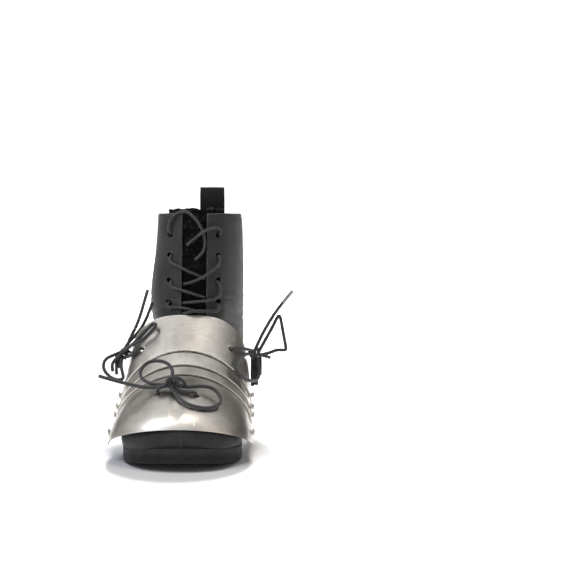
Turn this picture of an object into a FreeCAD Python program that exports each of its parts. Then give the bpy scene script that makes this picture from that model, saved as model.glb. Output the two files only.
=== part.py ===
import FreeCAD, Part
import math
import os
from collections import namedtuple

# Sabaton on its laced boot, right foot. Millimetres.
# +X is the inner side of the foot, the toe points along -Y, +Z is up, the ground is z = 0.

# Sole and boot
sole_length = 305.0
toe_y = -sole_length / 2
heel_y = sole_length / 2
welt_thickness = 4.0
outsole_thickness = 9.6
heel_breast_y = 68.0
welt_margin = 2.5
wall = 2.6
leather_gap = 0.3
insole_thickness = 3.0
tongue_thickness = 2.4
tongue_width = 56.0
tongue_rise = 5.0
rim_front_z = 221.0
rim_back_z = 213.0
gap_width = 25.0
gap_center_x = 5.5
throat_z = 102.0
eyelet_diameter = 5.6
eyelet_offset = 24.0
lace_diameter = 3.0
# Height of each pair of eyelets, and how far back the leather lies there
eyelet_rows = ((199.0, 32.0), (178.5, 26.5), (153.5, 19.0), (131.0, 11.0))

# Pull loop at the back of the shaft
loop_width = 26.0
loop_thickness = 2.0
loop_center_x = 17.5
loop_path = ((132.6, 188.0), (133.8, 206.0), (132.8, 222.0), (134.5, 236.0), (139.5, 242.5), (145.5, 237.0),
             (147.6, 223.0), (144.6, 208.0), (143.6, 182.0))

# Steel plates
steel = 1.2
plate_gap = 0.7
overlap = 10.0
profile_tilt = math.radians(34.0)
rivet_shank = 4.0
rivet_play = 0.05
rivet_head = 7.0
rivet_head_rise = 1.8
rivet_burr = 1.0
rivet_clear = 0.35
pivot_angle = math.radians(82.0)
lace_hole = 6.0

# Ties
cord_diameter = 3.4
lead_depth = 5.0
lead_rise = 5.0

# A plate edge lies in one plane: its crown, its side tips, its half width and how square the arch is
Edge = namedtuple("Edge", "crown_y crown_z tip_y tip_z half shape")
toe_edge = Edge(-150.5, 39.0, -107.0, 15.0, 67.0, 1.9)
toe_nose = Edge(-143.0, 49.0, -103.0, 16.0, 67.0, 1.9)
toe_dome = Edge(-127.5, 58.0, -96.0, 17.0, 67.0, 1.9)
toe_deck = Edge(-100.0, 66.0, -84.0, 19.0, 66.5, 1.9)
lower_lame_edge = Edge(-69.5, 74.5, -62.0, 24.0, 66.0, 1.9)
upper_lame_edge = Edge(-57.5, 81.5, -48.0, 29.0, 65.5, 1.9)
instep_edge = Edge(-41.5, 92.5, -32.0, 36.0, 65.0, 1.9)
ankle_edge = Edge(-2.5, 121.5, 18.0, 50.0, 61.0, 2.8)

# Feather line: height of the sole's top from toe to heel
feather_line = ((toe_y - 10.0, 24.4), (toe_y, 22.0), (-122.0, 16.0), (-90.0, 12.8), (-50.0, 12.6), (0.0, 16.0),
                (40.0, 21.0), (90.0, 27.0), (heel_y, 30.0), (heel_y + 10.0, 30.2))

# Sole outline, inner side and outer side, from toe to heel
sole_inner = ((-149.5, 25.0), (-140.0, 41.5), (-120.0, 53.0), (-92.0, 56.5), (-55.0, 55.0), (-10.0, 48.0),
              (40.0, 44.0), (95.0, 48.0), (132.0, 42.0), (147.5, 27.0))
sole_outer = ((-149.5, -18.0), (-140.0, -35.5), (-120.0, -49.0), (-90.0, -54.5), (-50.0, -52.0), (-5.0, -42.0),
              (40.0, -33.0), (95.0, -29.0), (132.0, -21.5), (147.5, -7.0))
sole_toe_x = 3.5
sole_heel_x = 10.0

# Boot sections: back or bottom point, front or top point, half width and centre x
Section = namedtuple("Section", "low_y low_z high_y high_z half x")
boot_sections = (
    Section(-147.0, 6.0, -146.5, 36.0, 22.5, 3.5),
    Section(-141.0, 2.0, -139.5, 42.0, 37.5, 3.0),
    Section(-122.0, -4.0, -119.5, 48.0, 50.5, 1.5),
    Section(-92.0, -8.0, -90.0, 54.5, 56.5, 1.0),
    Section(-58.0, -8.0, -62.0, 62.0, 53.5, 2.0),
    Section(-20.0, -6.0, -37.0, 74.0, 48.0, 3.5),
    Section(18.0, -4.0, -21.0, 90.0, 43.5, 4.0),
    Section(64.0, 0.0, -11.0, 105.0, 40.0, 7.5),
    Section(114.0, 4.0, -5.0, 115.0, 41.0, 8.5),
    Section(143.5, 38.0, 0.5, 124.0, 42.0, 9.0),
    Section(143.0, 82.0, 6.0, 136.0, 45.5, 9.0),
    Section(140.0, 124.0, 13.0, 155.0, 46.5, 9.0),
    Section(140.0, 168.0, 21.0, 186.0, 44.5, 10.0),
    Section(142.0, 214.0, 29.5, 223.0, 42.0, 10.0),
    Section(143.0, 232.0, 32.5, 240.0, 41.0, 10.0),
)
boot_shape = 2.3
# The shaft stands turned: its back lies further to the inner side than its lacing
shaft_turn = 5.0
turn_from_z = 100.0


def vec(x, y, z):
    return FreeCAD.Vector(x, y, z)


def save(name, shape):
    shape.exportStep("parts/" + name + ".step")
    print(name, "solids", len(shape.Solids), "volume", round(shape.Volume), "valid", shape.isValid())


def spline(points, closed=False):
    curve = Part.BSplineCurve()
    curve.interpolate(points, PeriodicFlag=closed)
    return curve.toShape()


def box_between(low, high):
    return Part.makeBox(high[0] - low[0], high[1] - low[1], high[2] - low[2], vec(*low))


def biggest(shape):
    return max(shape.Solids, key=lambda solid: solid.Volume)


# Plates
def sunk(edge, depth):
    return Edge(edge.crown_y + depth * math.sin(profile_tilt), edge.crown_z - depth * math.cos(profile_tilt),
                edge.tip_y, edge.tip_z, edge.half - depth, edge.shape)


def between(first, second, share):
    return Edge(*[a + (b - a) * share for a, b in zip(first, second)])


def edge_point(edge, angle):
    side = math.copysign(abs(math.sin(angle)) ** (2 / edge.shape), angle)
    rise = abs(math.cos(angle)) ** (2 / edge.shape)
    return vec(edge.half * side, edge.tip_y + (edge.crown_y - edge.tip_y) * rise,
               edge.tip_z + (edge.crown_z - edge.tip_z) * rise)


def arch(edge):
    steps = 12
    angles = [math.pi * (step / steps - 0.5) for step in range(steps + 1)]
    return [edge_point(edge, angle) for angle in angles]


# The same edge drawn smaller in its own plane
def thinned(edge, depth):
    drop_y = edge.tip_y - edge.crown_y
    drop_z = edge.tip_z - edge.crown_z
    share = depth / math.hypot(drop_y, drop_z)
    return Edge(edge.crown_y + drop_y * share, edge.crown_z + drop_z * share, edge.tip_y, edge.tip_z,
                edge.half - depth, edge.shape)


def plate_section(edge):
    outer = arch(edge)
    inner = arch(thinned(edge, steel))
    inner.reverse()
    return Part.Wire([spline(outer), Part.makeLine(outer[-1], inner[0]), spline(inner),
                      Part.makeLine(inner[-1], outer[0])])


def plate(edges, straight):
    return Part.makeLoft([plate_section(edge) for edge in edges], True, straight)


# A plate runs on under the front edge of the next one by the overlap, deeper where that one dives too
def under(edge, following, following_dives):
    reach = math.hypot(following.crown_y - edge.crown_y, following.crown_z - edge.crown_z)
    share = overlap / reach
    depth = steel + plate_gap
    back_depth = depth * (1.0 + share) if following_dives else depth
    return [sunk(edge, depth), sunk(between(edge, following, share), back_depth)]


# A pivot sits on both plates where they overlap, a little above the tips
def pivot_place(edge, following):
    middle = between(edge, under(edge, following, False)[1], 0.5)
    point = edge_point(middle, pivot_angle)
    return edge, point.y, point.z


# One rivet, dome outwards, from the inner face of the lower plate to the outer face of the upper one
def rivet(inside, outside):
    axis = vec(1, 0, 0)
    head = rivet_head / 2
    shank = Part.makeCylinder(rivet_shank / 2, outside - inside + 0.6, vec(inside - 0.3, 0, 0), axis)
    burr = Part.makeCylinder(head * 0.8, rivet_burr, vec(inside - rivet_burr, 0, 0), axis)
    radius = (head ** 2 + rivet_head_rise ** 2) / (2 * rivet_head_rise)
    low = math.degrees(math.asin((radius - rivet_head_rise) / radius))
    dome = Part.makeSphere(radius, vec(outside + rivet_head_rise - radius, 0, 0), axis, low, 90, 360)
    return biggest(shank.fuse(burr).fuse(dome).removeSplitter())


# The plates curve within the width of a head, so heads stand clear by that much
def rivet_pair(place, layers):
    edge, y, z = place
    outside = edge.half + rivet_clear
    inside = edge_point(edge, pivot_angle - 0.1).x - layers - rivet_clear
    right = rivet(inside, outside)
    left = right.mirror(vec(0, 0, 0), vec(1, 0, 0))
    for one in (right, left):
        one.translate(vec(0, y, z))
    return Part.Compound([right, left])


def side_bore(place, diameter):
    return Part.makeCylinder(diameter / 2, 160.0, vec(-80.0, place[1], place[2]), vec(1, 0, 0))


def plate_spot(first, second, share, angle):
    edge = between(first, second, share)
    point = edge_point(edge, angle)
    across = edge_point(edge, angle + 0.02) - edge_point(edge, angle - 0.02)
    along = edge_point(between(first, second, share + 0.02), angle) - edge_point(edge, angle)
    normal = across.cross(along)
    normal.normalize()
    if normal.z < 0:
        normal = normal * -1
    return point, normal


def hole_at(point, normal, diameter):
    return Part.makeCylinder(diameter / 2, 12.0, point - normal * 6.0, normal)


# Boot
def section_ring(section, inset):
    low = vec(0, section.low_y, section.low_z)
    high = vec(0, section.high_y, section.high_z)
    middle = (low + high) * 0.5
    reach = (high - low).Length / 2 - inset
    up = (high - low).normalize()
    turn = shaft_turn if section.high_z > turn_from_z else 0.0
    points = []
    steps = 16
    for step in range(steps):
        angle = 2 * math.pi * step / steps + math.pi
        side = math.copysign(abs(math.sin(angle)) ** (2 / boot_shape), math.sin(angle))
        rise = math.copysign(abs(math.cos(angle)) ** (2 / boot_shape), math.cos(angle))
        place = middle + up * (reach * rise)
        points.append(vec(section.x - turn * rise + (section.half - inset) * side, place.y, place.z))
    return points + points[:1]


# The boot's outer form, or the form that lies inset inside it
def boot_form(inset):
    first = boot_sections[0]
    toe = first._replace(low_y=first.low_y + inset, high_y=first.high_y + inset)
    rings = [section_ring(section, inset) for section in (toe,) + boot_sections[1:]]
    surface = Part.BSplineSurface()
    surface.interpolate(rings)
    skin = surface.toShape()
    caps = [Part.Face(Part.Wire([edge])) for edge in skin.Edges
            if (edge.valueAt(edge.FirstParameter) - edge.valueAt(edge.LastParameter)).Length < 0.001]
    closed = Part.makeCompound([skin] + caps)
    closed.sewShape()
    return Part.Solid(Part.Shell(closed.Faces))


def profile_under(drop, reach):
    line = spline([vec(0, y, z - drop) for y, z in feather_line])
    low = -60.0
    front_y, front_z = feather_line[0]
    back_y, back_z = feather_line[-1]
    corners = [vec(0, back_y, back_z - drop), vec(0, back_y, low), vec(0, front_y, low),
               vec(0, front_y, front_z - drop)]
    edges = [line] + [Part.makeLine(a, b) for a, b in zip(corners, corners[1:])]
    face = Part.Face(Part.Wire(edges))
    face.translate(vec(-reach, 0, 0))
    return face.extrude(vec(2 * reach, 0, 0))


# Everything between the ground side and a line that runs below the feather line by drop
def under_feather(drop):
    return profile_under(drop, 90.0)


def sole_outline():
    points = [vec(sole_toe_x, toe_y, 0)]
    points += [vec(x, y, 0) for y, x in sole_inner]
    points.append(vec(sole_heel_x, heel_y, 0))
    points += [vec(x, y, 0) for y, x in reversed(sole_outer)]
    return Part.Wire([spline(points, True)])


def sole_column():
    return Part.Face(sole_outline()).extrude(vec(0, 0, 60.0))


def rim_cutter():
    slope = (rim_front_z - rim_back_z) / 112.0
    front = rim_front_z + slope * 200.0
    back = rim_back_z - slope * 60.0
    points = [vec(-90, -170, front), vec(-90, 202, back), vec(-90, 202, 300), vec(-90, -170, 300)]
    face = Part.Face(Part.makePolygon(points + points[:1]))
    return face.extrude(vec(180, 0, 0))


def upper_shell():
    outer = boot_form(0.0)
    inner = boot_form(wall)
    shell = outer.cut(inner).cut(under_feather(0.0)).cut(rim_cutter())
    return biggest(shell)


# The plane between vamp and quarters slopes from the throat down to the waist of the sole
def vamp_region():
    points = [vec(-90, -200, -20), vec(-90, 6, -20), vec(-90, 6, 20), vec(-90, -16, throat_z),
              vec(-90, -16, 130), vec(-90, -200, 130)]
    face = Part.Face(Part.makePolygon(points + points[:1]))
    return face.extrude(vec(180, 0, 0))


def lacing_gap():
    return box_between((gap_center_x - gap_width / 2, -40, throat_z - 8), (gap_center_x + gap_width / 2, 70, 260))


def eyelets():
    bores = []
    for z, y in eyelet_rows:
        for side in (-1, 1):
            start = vec(gap_center_x + side * eyelet_offset, y - 12.0, z - 3.0)
            bores.append(Part.makeCylinder(eyelet_diameter / 2, 24.0, start, vec(0, 1, 0.25)))
    return Part.Compound(bores)


def build_boot():
    shell = upper_shell()
    region = vamp_region()
    front = shell.common(region)
    seam_x = gap_center_x - 2.0
    seam = box_between((seam_x, -200, -20), (90, 200, 260))
    save("vamp_inner", biggest(front.common(seam)))
    save("vamp_outer", biggest(front.cut(seam)))
    rear = shell.cut(region).cut(lacing_gap())
    rear = rear.cut(eyelets())
    split = box_between((8.0, -200, -20), (90, 200, 260))
    save("quarter_inner", biggest(rear.common(split)))
    save("quarter_outer", biggest(rear.cut(split)))


def build_tongue():
    skin = boot_form(wall + leather_gap).cut(boot_form(wall + leather_gap + tongue_thickness))
    window = box_between((gap_center_x - tongue_width / 2, -60, throat_z - 14), (gap_center_x + tongue_width / 2, 66, 260))
    top = rim_cutter()
    top.translate(vec(0, 0, tongue_rise))
    save("tongue", biggest(skin.common(window).cut(top)))


def build_soles():
    column = sole_column()
    welt = column.common(under_feather(0.0)).cut(under_feather(welt_thickness))
    save("welt", biggest(welt))
    outsole = column.common(under_feather(welt_thickness)).cut(under_feather(welt_thickness + outsole_thickness))
    outsole = outsole.cut(box_between((-90, -200, -80), (90, 200, 0)))
    save("outsole", biggest(outsole))
    heel = column.common(under_feather(welt_thickness + outsole_thickness))
    heel = heel.common(box_between((-90, heel_breast_y, 0), (90, 200, 60)))
    save("heel_block", biggest(heel))
    inside = boot_form(wall + leather_gap)
    insole = inside.cut(under_feather(0.0)).common(under_feather(-insole_thickness))
    save("insole", biggest(insole))


def build_pull_loop():
    path = spline([vec(0, y, z) for y, z in loop_path])
    curve = path.Curve
    count = 24
    left = []
    right = []
    for step in range(count + 1):
        at = curve.FirstParameter + (curve.LastParameter - curve.FirstParameter) * step / count
        point = curve.value(at)
        way = curve.tangent(at)[0]
        normal = vec(0, -way.z, way.y)
        left.append(point + normal * (loop_thickness / 2))
        right.append(point - normal * (loop_thickness / 2))
    right.reverse()
    face = Part.Face(Part.Wire([spline(left), Part.makeLine(left[-1], right[0]), spline(right),
                                Part.makeLine(right[-1], left[0])]))
    face.translate(vec(loop_center_x - loop_width / 2, 0, 0))
    save("pull_loop", face.extrude(vec(loop_width, 0, 0)))


# Steel
def build_steel():
    toe = plate([toe_edge, toe_nose, toe_dome, toe_deck] + under(lower_lame_edge, upper_lame_edge, True), False)
    lower_lame = plate([lower_lame_edge] + under(upper_lame_edge, instep_edge, True), True)
    upper_lame = plate([upper_lame_edge] + under(instep_edge, ankle_edge, True), True)
    instep = plate([instep_edge, ankle_edge], True)
    instep_pivot = pivot_place(instep_edge, ankle_edge)
    upper_pivot = pivot_place(upper_lame_edge, instep_edge)
    lower_pivot = pivot_place(lower_lame_edge, upper_lame_edge)
    loose = rivet_shank + 2 * rivet_play
    corner = corner_place()
    toe = toe.cut(side_bore(corner, loose))
    for place in toe_lace_spots():
        toe = toe.cut(hole_at(place[0], place[1], lace_hole))
    for place in side_lace_spots():
        instep = instep.cut(hole_at(place[0], place[1], lace_hole))
    save("toe_plate", biggest(toe.cut(side_bore(lower_pivot, loose))))
    save("lame_lower", biggest(lower_lame.cut(side_bore(lower_pivot, loose)).cut(side_bore(upper_pivot, loose))))
    save("lame_upper", biggest(upper_lame.cut(side_bore(upper_pivot, loose)).cut(side_bore(instep_pivot, loose))))
    save("instep_plate", biggest(instep.cut(side_bore(instep_pivot, loose))))
    layers = 2 * steel + plate_gap
    for name, place in (("rivets_instep", instep_pivot), ("rivets_upper_lame", upper_pivot),
                        ("rivets_lower_lame", lower_pivot)):
        save(name, rivet_pair(place, layers))
        print("  pivot", [round(value, 2) for value in place[1:]])
    save("rivets_toe", rivet_pair(corner, steel))


# The foremost rivet pair sits in the lower corners of the toe plate
def corner_place():
    point = edge_point(between(toe_deck, toe_dome, 0.5), pivot_angle)
    return toe_dome, point.y, point.z


# Lacing holes: where each lies between two edges, and how far round the arch
def toe_lace_spots():
    return [plate_spot(toe_deck, toe_dome, 0.2, -0.33), plate_spot(toe_deck, toe_dome, 0.42, 0.26)]


def side_lace_spots():
    return [plate_spot(instep_edge, ankle_edge, 0.42, side * 0.72) for side in (-1, 1)]


# A cord comes up through a lacing hole along its middle
def through(spot):
    point, normal = spot
    return (tuple(point - normal * lead_depth), tuple(point + normal * lead_rise))


# Cords: straight runs joined by arcs as large as the runs allow
def cord_path(points):
    places = [vec(*point) for point in points]
    edges = []
    radii = []
    start = places[0]
    for before, here, after in zip(places, places[1:], places[2:]):
        way_in = (here - before)
        way_out = (after - here)
        turn = way_in.getAngle(way_out)
        trim = 0.45 * min(way_in.Length, way_out.Length)
        radii.append(trim / math.tan(turn / 2))
        way_in.normalize()
        way_out.normalize()
        enter = here - way_in * trim
        leave = here + way_out * trim
        bisector = (way_out - way_in).normalize()
        middle = here + bisector * (radii[-1] / math.cos(turn / 2) - radii[-1])
        edges.append(Part.LineSegment(start, enter).toShape())
        edges.append(Part.Arc(enter, middle, leave).toShape())
        start = leave
    edges.append(Part.LineSegment(start, places[-1]).toShape())
    return Part.Wire(edges), radii


def cord(points, diameter=cord_diameter):
    path, radii = cord_path(points)
    way = vec(*points[1]) - vec(*points[0])
    ring = Part.Wire([Part.Circle(vec(*points[0]), way, diameter / 2).toShape()])
    tube = Part.Wire(path).makePipeShell([ring], True, False)
    expected = math.pi * diameter ** 2 / 4 * path.Length
    print("  cord length", round(path.Length), "least radius", round(min(radii), 1), "of diameter", diameter,
          "volume share", round(tube.Volume / expected, 3))
    return tube


def knot(center, size):
    ball = Part.makeSphere(1.0)
    matrix = FreeCAD.Matrix()
    matrix.scale(vec(*size))
    ball = ball.transformGeometry(matrix)
    ball.translate(vec(*center))
    return ball


def tied(points, around, name):
    tube = cord(points)
    save(name, biggest(tube.cut(around)))


# Toe bow
toe_knot_center = (-7.0, -101.0, 71.3)
toe_knot_size = (9.0, 6.5, 5.2)
toe_loop_outer = ((-8, -99, 71), (-12, -90, 75), (-17, -78, 80), (-24, -68, 84), (-33, -63, 84), (-39, -67, 79),
                  (-39, -77, 73), (-33, -87, 70), (-24, -95, 68.5), (-10, -100, 70))
toe_loop_inner = ((-5, -101, 71), (2, -106, 69.5), (11, -106, 69), (20, -101, 69), (29, -100, 67.5),
                  (36, -104, 63), (39.5, -113, 57.5), (36, -122, 54.5), (27.5, -130, 54), (17, -133, 56),
                  (7, -131, 59), (-1, -122, 64.3), (-9, -105, 69))
toe_tail = ((-9, -101.5, 70), (-19, -102, 68), (-32, -97, 66.5), (-44, -91, 67.5), (-57, -90, 70.5),
            (-68, -90, 73.5), (-77, -88, 76))
toe_lead_outer = ((-17, -106.5, 69.5), (-9, -102, 71))
toe_lead_inner = ((8, -111.5, 65.2), (0, -109, 66.2), (-4.5, -104, 69.5))

# Side tie on the outer side
outer_knot_center = (-63.3, -2.0, 83.0)
outer_knot_size = (6.0, 6.0, 6.5)
outer_lead = ((-57.5, -15, 80.5), (-62, -6, 79.5))
outer_tail_long = ((-63.5, 0, 85), (-60.5, 1.5, 92), (-57, 2, 100), (-51, 0, 111), (-45.5, -4, 126), (-42, -6, 138),
                   (-39, -8, 147))
outer_tail_back = ((-65.5, 2, 84), (-62, 9, 91), (-52, 12, 100.5), (-45, 11, 111), (-40, 10, 122), (-36, 8, 133))
outer_tail_short = ((-65.5, -4.5, 82), (-72, -9, 78.5), (-76, -11.5, 71.5))
outer_loop_up = ((-61, -5, 87), (-54, -9.5, 93.5), (-47.5, -12, 100), (-40.5, -12.5, 107.5), (-33.5, -11, 114.5),
                 (-29.5, -16, 113.5), (-35, -21.5, 107), (-42, -21.5, 100), (-51, -18, 95.5), (-58, -12, 90.5), (-66, -6, 84.5))
outer_loop_low = ((-66, 0, 84), (-75, -4.5, 81), (-82, -10, 76), (-83.5, -14, 69), (-79, -17, 63), (-72, -18, 59),
                  (-66, -17, 60.5), (-66.5, -12, 66.4), (-67.5, -7, 73), (-65.5, -3.5, 80))

# Side tie on the inner side
inner_knot_center = (67.0, 6.0, 81.0)
inner_knot_size = (8.0, 7.0, 6.5)
inner_lead = ((60, -10, 90.5), (65, 1, 85))
inner_tail = ((66.5, 4.5, 83), (69, 3, 89), (72, 1, 96), (78, -2, 108), (85, -4, 120), (94, -6, 133), (105, -6, 146))
inner_loop_up = ((70.5, 6, 82), (77, 3, 94), (84, 0, 107), (90, 0, 118.5), (94.5, 1, 113), (95.5, 2, 102),
                 (96, 3, 90), (90, 5, 83.5), (81, 6.5, 80.5), (71, 6, 80))
inner_loop_low = ((65, 2.5, 82), (58.5, -14, 84), (50.5, -33, 81.5), (48.5, -43, 75.5), (52.5, -46.5, 68.5),
                  (60, -39, 62), (69, -19, 57.5), (72, -4, 61), (70.5, 2.5, 69), (69, 5, 78))

# Lacing of the shaft, strand by strand from the top
lace_strands = (
    ((-18.9, 34, 199.5), (-19.5, 29.8, 202), (-21, 29.2, 208), (-18.8, 29.8, 216), (-11.3, 29.5, 222.4),
     (-2, 27, 223.6), (5.2, 25.5, 217.6), (11.3, 24.5, 209.6), (15.5, 24, 200.5), (16.5, 21.5, 188.5),
     (13.5, 19, 180.5), (6.4, 18, 175)),
    ((30.5, 33, 198.5), (32.5, 29.5, 201.5), (31, 28.5, 206), (24.4, 24.5, 207.5), (15.6, 20, 203.8),
     (6.5, 19, 196.7), (-2, 23, 189.4)),
    ((-17.5, 28, 179), (-19.8, 23.5, 176.5), (-18.5, 21, 172), (-9.9, 15.5, 168.6), (-1, 14, 163.8),
     (10.6, 15, 158.7), (16.2, 16.5, 155.8)),
    ((29.7, 27, 178), (32, 22.5, 175), (30.5, 19.5, 169), (24, 14.5, 164), (15, 9.5, 158.2), (4.7, 10, 153),
     (-4.8, 14, 150.5)),
    ((-17.5, 21, 154), (-19, 15.5, 151.5), (-16.5, 12, 147.5), (-8.5, 8.5, 145.5), (1, 6.5, 142.8),
     (9.9, 7.5, 139.8), (16.3, 9.2, 137.2)),
    ((28.5, 19.5, 153), (32, 15, 149.5), (33, 13, 143), (31, 9.5, 137.5), (22.5, 4, 135), (10.3, 0.5, 134.5),
     (-1, 3.5, 133.2), (-5, 6.5, 132)),
    ((-19.5, 14, 132), (-22.5, 10.5, 130), (-19.5, 7.5, 127.5), (-10.5, 2.5, 128.5), (0, 0, 127.5),
     (9, 0.5, 124.5), (16, 2.3, 122)),
    ((28.5, 11, 131), (32, 6, 128.5), (30.6, 2.5, 125), (22.4, -1.5, 124.5), (11.6, -4, 126), (2.4, -3, 124.5),
     (-4.8, -0.5, 122.5)),
)

# Leather tabs that hang from the side ties: left and right side, foot of each prong
tab_thickness = 2.2
inner_tab_y = 8.0
inner_tab_top = 80.0
inner_tab_prongs = ((62.6, 66.0, 47.0), (67.2, 70.2, 48.0), (71.2, 74.0, 58.0))
outer_tab_y = 1.0
outer_tab_top = 82.0
outer_tab_prongs = ((-74.0, -71.0, 60.0), (-69.6, -66.8, 66.0))


def build_ties(label, center, size, routes):
    ball = knot(center, size)
    save(label + "_knot", ball)
    for name, route in routes:
        tied(route, ball, label + "_" + name)
    return ball


def build_lace():
    save("boot_lace", Part.Compound([cord(strand, lace_diameter) for strand in lace_strands]))


def build_tab(name, y, top, prongs, ball):
    left = min(prong[0] for prong in prongs)
    right = max(prong[1] for prong in prongs)
    root = max(prong[2] for prong in prongs) + 6.0
    strap = box_between((left, y, root), (right, y + tab_thickness, top))
    for start, end, foot in prongs:
        strap = strap.fuse(box_between((start, y, foot), (end, y + tab_thickness, root)))
    save(name, biggest(strap.removeSplitter().cut(ball)))


os.makedirs("parts", exist_ok=True)
build_boot()
build_tongue()
build_soles()
build_pull_loop()
build_steel()
build_ties("toe", toe_knot_center, toe_knot_size,
           (("loop_outer", toe_loop_outer), ("loop_inner", toe_loop_inner), ("tail", toe_tail),
            ("lead_outer", through(toe_lace_spots()[0]) + toe_lead_outer),
            ("lead_inner", through(toe_lace_spots()[1]) + toe_lead_inner)))
outer_ball = build_ties("outer_tie", outer_knot_center, outer_knot_size,
                        (("lead", through(side_lace_spots()[0]) + outer_lead), ("tail_long", outer_tail_long), ("tail_back", outer_tail_back),
                         ("tail_short", outer_tail_short), ("loop_up", outer_loop_up),
                         ("loop_low", outer_loop_low)))
inner_ball = build_ties("inner_tie", inner_knot_center, inner_knot_size,
                        (("lead", through(side_lace_spots()[1]) + inner_lead), ("tail", inner_tail), ("loop_up", inner_loop_up),
                         ("loop_low", inner_loop_low)))
build_tab("inner_tab", inner_tab_y, inner_tab_top, inner_tab_prongs, inner_ball)
build_tab("outer_tab", outer_tab_y, outer_tab_top, outer_tab_prongs, outer_ball)
build_lace()
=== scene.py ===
import math

import bmesh
import bpy
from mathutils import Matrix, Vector, noise
from mathutils.bvhtree import BVHTree


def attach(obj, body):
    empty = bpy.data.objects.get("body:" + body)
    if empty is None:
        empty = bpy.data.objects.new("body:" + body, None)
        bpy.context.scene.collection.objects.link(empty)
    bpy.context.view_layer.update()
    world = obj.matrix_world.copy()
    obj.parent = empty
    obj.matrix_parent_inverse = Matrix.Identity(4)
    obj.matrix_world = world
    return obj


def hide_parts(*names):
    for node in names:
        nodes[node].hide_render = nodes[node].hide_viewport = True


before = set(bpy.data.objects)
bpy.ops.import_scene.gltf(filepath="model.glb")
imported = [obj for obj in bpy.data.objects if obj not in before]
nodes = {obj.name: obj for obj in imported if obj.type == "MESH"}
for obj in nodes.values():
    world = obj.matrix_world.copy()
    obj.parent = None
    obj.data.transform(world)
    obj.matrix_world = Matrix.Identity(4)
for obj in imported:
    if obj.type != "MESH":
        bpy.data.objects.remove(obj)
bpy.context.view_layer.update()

mm = 0.001
print("frame loaded,", len(nodes), "nodes")


def point(x, y, z):  # a place given in millimetres
    return Vector((x * mm, y * mm, z * mm))


def hexColour(text, alpha=1.0):  # sRGB hex to the linear colour that shaders want
    parts = [int(text[i:i + 2], 16) / 255 for i in (1, 3, 5)]
    return tuple(c / 12.92 if c <= 0.04045 else ((c + 0.055) / 1.055) ** 2.4 for c in parts) + (alpha,)


def addNode(tree, kind, values=None, feeds=None, stops=(), **settings):  # stops of a ramp are (place, hex)
    made = tree.nodes.new(kind)
    for name, value in settings.items():
        setattr(made, name, value)
    for name, value in (values or {}).items():
        made.inputs[name].default_value = value
    for name, source in (feeds or {}).items():
        tree.links.new(source, made.inputs[name])
    if stops:
        marks = made.color_ramp.elements
        while len(marks) < len(stops):
            marks.new(0.5)
        for mark, (place, colour) in zip(marks, stops):
            mark.position = place
            mark.color = hexColour(colour)
    return made


def newMaterial(name):
    made = bpy.data.materials.new(name)
    made.use_nodes = True
    tree = made.node_tree
    tree.nodes.clear()
    return made, tree


def finishMaterial(made, tree, shader):
    output = addNode(tree, "ShaderNodeOutputMaterial")
    tree.links.new(shader.outputs[0], output.inputs["Surface"])
    return made


# The camera stands where the photograph was taken, and the cords are drawn against that view
view = {"lens": 79.7, "sensor": 36.0, "place": (97.5, -1252.5, 300.0), "tiltDown": 6.77}
lensData = bpy.data.cameras.new("studioCamera")
lensData.lens = view["lens"]
lensData.sensor_width = view["sensor"]
lensData.clip_end = 50.0
studioCamera = bpy.data.objects.new("studioCamera", lensData)
studioCamera.location = point(*view["place"])
studioCamera.rotation_euler = (math.radians(90.0 - view["tiltDown"]), 0.0, 0.0)
bpy.context.scene.collection.objects.link(studioCamera)
bpy.context.scene.camera = studioCamera

# Diameters in millimetres, as in the CAD
cordWide = 3.4
laceWide = 3.0

# Cord: waxed braided polyester, charcoal; the braid gives small diamonds, their crests painted lighter with
# pale flecks as painted highlight, the grooves between strands painted darker as painted shade
braidLook = {"colours": ("#18191B", "#2C2D30", "#5E6063"), "plaitMm": 3.1, "strandsRound": 8,
             "roughness": 0.52}


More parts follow.
